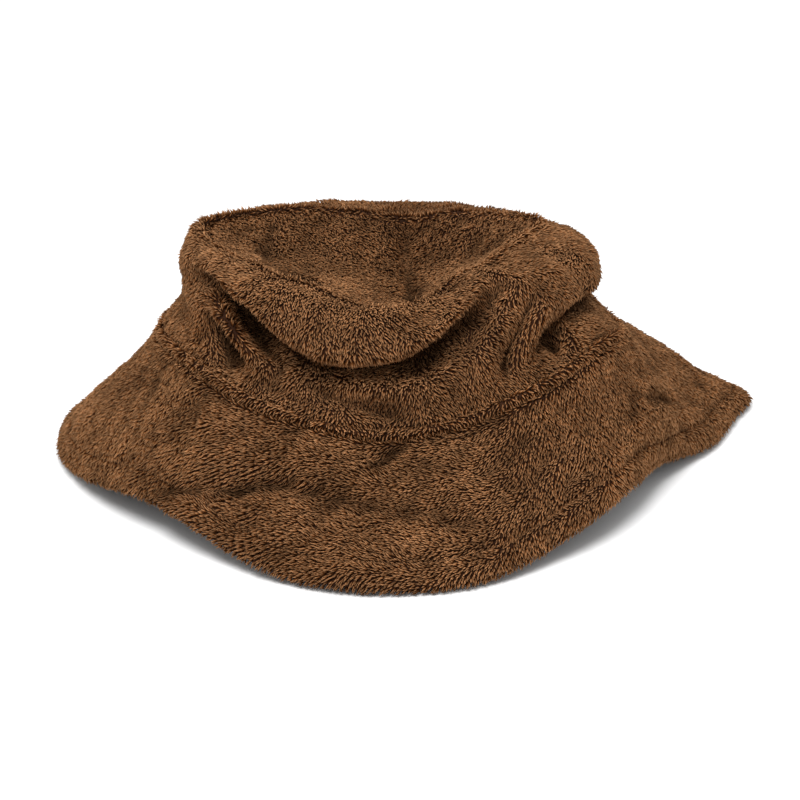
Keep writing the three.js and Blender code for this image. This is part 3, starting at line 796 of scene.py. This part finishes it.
def tuft_mesh(name, roots, middles, tips, sides, ups, radius, tones, painted_shade_openness, material):
    """Tapered tufts of three sides, closed at the root, with the attribute that colours them."""
    count = len(roots)
    corner = np.radians([90, 210, 330])
    ring = np.cos(corner)[None, :, None] * sides[:, None] + np.sin(corner)[None, :, None] * ups[:, None]
    low = roots[:, None] + ring * (radius * ROOT_SHARE)[:, None, None]
    wide = middles[:, None] + ring * radius[:, None, None]
    points = np.concatenate([low, wide, tips[:, None]], axis=1).reshape(-1, 3)
    points[:, 2] = pressed_on_table(points[:, 2])
    faces = (np.array(TUFT_FACES)[None] + TUFT_POINTS * np.arange(count)[:, None, None]).reshape(-1, 3)
    mesh = bpy.data.meshes.new(name)
    mesh.vertices.add(len(points))
    mesh.vertices.foreach_set("co", ((points + SHIFT) * MM).astype(np.float32).ravel())
    mesh.loops.add(faces.size)
    mesh.loops.foreach_set("vertex_index", faces.astype(np.int32).ravel())
    mesh.polygons.add(len(faces))
    mesh.polygons.foreach_set("loop_start", np.arange(0, faces.size, 3, dtype=np.int32))
    mesh.update(calc_edges=True)
    mesh.shade_smooth()
    stored = mesh.attributes.new("tuft", "FLOAT_COLOR", "POINT")
    along = np.tile([0, 0, 0, MIDDLE_TONE, MIDDLE_TONE, MIDDLE_TONE, 1], count)
    each = [np.repeat(tones, TUFT_POINTS), np.repeat(painted_shade_openness, TUFT_POINTS)]
    colours = np.stack([along, *each, 1 + 0 * along], -1)
    stored.data.foreach_set("color", colours.astype(np.float32).ravel())
    mesh.materials.append(material)
    piece = bpy.data.objects.new(name, mesh)
    bpy.context.scene.collection.objects.link(piece)
    return piece


def pile_piece(name, azimuths, stations, density, seed, size=1.0):
    random = np.random.default_rng(seed)
    a, s = scatter(azimuths, stations, density)
    gap = seam_distance(a, s)
    a, s, gap = a[gap > SEAM_CLEAR], s[gap > SEAM_CLEAR], gap[gap > SEAM_CLEAR]
    roots, outward = cloth_places(a, s, CLOTH[0] + ROOT_SINK)
    way = nap(a, s, roots, outward, random)
    count = len(a)
    length = TUFT_LENGTH * size * random.uniform(*LENGTH_SPREAD, count)
    length *= SHORTEST + (1 - SHORTEST) * smooth_step(gap, SEAM_CLEAR, SEAM_SHORT)
    rise = np.radians(random.normal(*RISE, count))[:, None]
    droop = np.radians(random.normal(*DROOP, count))[:, None]
    half = (length / 2)[:, None]
    middles = roots + half * (np.cos(rise) * way + np.sin(rise) * outward)
    tips = middles + half * (np.cos(droop) * way + np.sin(droop) * outward)
    sides = unit(np.cross(way, outward))
    ups = unit(np.cross(sides, unit(middles - roots)))
    radius = TUFT_RADIUS * size * random.uniform(*RADIUS_SPREAD, count)
    # Painted shade: the deeper a tuft's place lies in a crease or hollow, the more its colour is
    # darkened.
    hollow = surface.read(surface.hollow, a, upper_station(s)) * np.where(s > HEM, 0, 1)
    painted_shade_openness = 1 - smooth_step(hollow, *PAINTED_SHADE_HOLLOW_RANGE)
    tones = random.random(count)
    return tuft_mesh(name, roots, middles, tips, sides, ups, radius, tones, painted_shade_openness, pile)


def steps_between(start, end, step):
    return np.linspace(start, end, int(round((end - start) / step)) + 1)


ROW_STEP, COLUMN_STEP = 0.05, 1.0   # in stations and in degrees
TIP_SPAN = steps_between(0.03, TIP_SEAM, ROW_STEP)
CROWN_SPAN = steps_between(TIP_SEAM, BASE_SEAM, ROW_STEP)
BRIM_SPAN = steps_between(BASE_SEAM, HEM + 0.5, ROW_STEP)
UNDER_SPAN = steps_between(HEM + 0.5, UNDER_END, ROW_STEP)
ROUND_TURN = steps_between(0, FULL_TURN, COLUMN_STEP)
QUARTERS = {
    "front_left": (180, 270),
    "front_right": (270, 360),
    "back_right": (0, 90),
    "back_left": (90, 180),
}

tip_pile = pile_piece("tip_pile", ROUND_TURN, TIP_SPAN, TIP_DENSITY, 20, size=TIP_TUFT_SIZE)
crown_pile, brim_pile, under_pile = {}, {}, {}
for number, (quarter, (start, end)) in enumerate(QUARTERS.items()):
    span = steps_between(start, end, COLUMN_STEP)
    crown_pile[quarter] = pile_piece(f"crown_{quarter}_pile", span, CROWN_SPAN, PILE_DENSITY, 30 + number)
    brim_pile[quarter] = pile_piece(f"brim_{quarter}_pile", span, BRIM_SPAN, PILE_DENSITY, 40 + number)
    under_pile[quarter] = pile_piece(
        f"under_{quarter}_pile", span, UNDER_SPAN, UNDER_DENSITY, 50 + number, size=UNDER_TUFT_SIZE)


# ---- Stitching: separate stitches that dip into the cloth at both ends ----


STITCH_START = 90.0             # every row starts and ends at the back of the hat


def stitch_row(name, seam, offset, depth, node):
    """A row of stitches along a seam, `offset` millimetres from it and `depth` under the surface."""
    columns = np.arange(STITCH_START, STITCH_START + FULL_TURN, 0.25)
    stations = surface.station_at(columns, seam, offset)
    path, outward = cloth_places(columns, stations, depth)
    steps = np.linalg.norm(np.diff(path, axis=0), axis=1)
    travel = np.concatenate([[0], np.cumsum(steps)])
    pitch = STITCH_LENGTH + STITCH_GAP
    starts = np.arange(1.0, travel[-1] - pitch, pitch)
    shape = np.linspace(0, 1, 6)
    at = starts[:, None] + shape * STITCH_LENGTH
    centres = np.stack([np.interp(at, travel, path[:, k]) for k in range(3)], -1)
    normals = unit(np.stack([np.interp(at, travel, outward[:, k]) for k in range(3)], -1))
    centres = centres + normals * (0.35 * np.sin(np.pi * shape) - 0.15)[None, :, None]
    along = unit(np.gradient(centres, axis=1))
    sides = unit(np.cross(along, normals))
    corner = np.radians(np.arange(0, 360, 60))
    ring = np.cos(corner)[:, None] * sides[..., None, :] + np.sin(corner)[:, None] * normals[..., None, :]
    points = (centres[..., None, :] + ring * THREAD_RADIUS).reshape(-1, 3)
    faces = []
    for stitch in range(len(starts)):
        first = stitch * len(shape) * len(corner)
        numbers = first + np.arange(len(shape) * len(corner)).reshape(len(shape), len(corner))
        closed = np.hstack([numbers, numbers[:, :1]])
        faces += quads(closed).tolist()
        faces += [numbers[0].tolist(), numbers[-1][::-1].tolist()]
    piece = new_piece(name, points, faces, thread)
    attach(piece, "root")
    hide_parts(node)
    return piece


tip_stitches = stitch_row("tip_topstitches", TIP_SEAM, WELT_WIDTH, TOPSTITCH_DEPTH, "tip_topstitch")
stitch_row("base_topstitches", BASE_SEAM, -WELT_WIDTH, TOPSTITCH_DEPTH, "base_topstitch")
stitch_row("hem_topstitches", HEM, -HEM_STITCH_INSET, TOPSTITCH_DEPTH, "hem_topstitch")
BAND_STITCH_DEPTH = SWEATBAND[1] + 0.1
stitch_row("sweatband_stitches", BASE_SEAM, BAND_STITCH_OFFSET, BAND_STITCH_DEPTH, "sweatband_stitch")


# ---- What each piece is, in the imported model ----
for piece in [tip_pile, *crown_pile.values(), *brim_pile.values()]:
    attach(piece, "root")
for piece in under_pile.values():
    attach(piece, "root")

sheet(cloth["tip"], "tip_outer")
for half in ("front", "back"):
    sheet(cloth[f"crown_{half}"], f"crown_{half}_outer")
    sheet(cloth[f"brim_{half}"], f"brim_{half}_upper")
    sheet(cloth[f"under_{half}"], f"brim_{half}_under")
sheet(interlining, "brim_interlining")
sheet(tip_lining, "tip_lining")
sheet(front_lining, "crown_front_lining")
sheet(back_lining, "crown_back_lining")
sheet(sweatband, "sweatband")
sheet(label, "size_label")


# ---- Studio: a plain white table, even light, and a broad lamp above and in front, a little left ----
CAMERA_DISTANCE, CAMERA_ELEVATION = 1300.0, 22.0
AIM_HEIGHT = 22.4
LENS, SENSOR_WIDTH = 142.8, 36
SKY_STRENGTH = 0.74
KEY_PLACE, KEY_SIZE, KEY_POWER = (-0.2, -0.9, 1.6), 1.0, 34
LAMP_AIM = (0, 0, 0.05)
TABLE_HALF = 6.0                # metres


def frame_point(x, y, z):
    return (Vector((x, y, z)) + Vector(SHIFT)) * MM


def add_camera():
    camera = bpy.data.objects.new("camera", bpy.data.cameras.new("camera"))
    bpy.context.scene.collection.objects.link(camera)
    elevation = math.radians(CAMERA_ELEVATION)
    target = frame_point(AIM_RIGHT, 0.0, AIM_HEIGHT)
    back = Vector((0, -math.cos(elevation), math.sin(elevation)))
    camera.location = target + back * CAMERA_DISTANCE * MM
    camera.rotation_euler = (-back).to_track_quat("-Z", "Y").to_euler()
    camera.data.lens = LENS
    camera.data.sensor_width = SENSOR_WIDTH
    camera.data.clip_start = 0.05
    bpy.context.scene.camera = camera


def add_light(name, place, size, power):
    light = bpy.data.objects.new(name, bpy.data.lights.new(name, "AREA"))
    light.data.shape = "DISK"
    light.data.size = size
    light.data.energy = power
    light.location = Vector(place)
    light.rotation_euler = (Vector(LAMP_AIM) - light.location).to_track_quat("-Z", "Y").to_euler()
    bpy.context.scene.collection.objects.link(light)


def add_table():
    mesh = bpy.data.meshes.new("table")
    corners = [(x * TABLE_HALF, y * TABLE_HALF, 0) for x, y in [(-1, -1), (1, -1), (1, 1), (-1, 1)]]
    mesh.from_pydata(corners, [], [(0, 1, 2, 3)])
    material, nodes, links, shader = node_material("white_table")
    shader.inputs["Base Color"].default_value = (0.92, 0.92, 0.92, 1)
    shader.inputs["Roughness"].default_value = 0.9
    mesh.materials.append(material)
    table = bpy.data.objects.new("table", mesh)
    bpy.context.scene.collection.objects.link(table)
    table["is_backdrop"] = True


def add_world():
    world = bpy.data.worlds.new("studio")
    world.use_nodes = True
    background = world.node_tree.nodes["Background"]
    background.inputs["Color"].default_value = (1, 1, 1, 1)
    background.inputs["Strength"].default_value = SKY_STRENGTH
    bpy.context.scene.world = world


add_camera()
add_table()
add_world()
add_light("key", KEY_PLACE, KEY_SIZE, KEY_POWER)
bpy.context.scene.view_settings.view_transform = "Standard"

low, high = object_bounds()
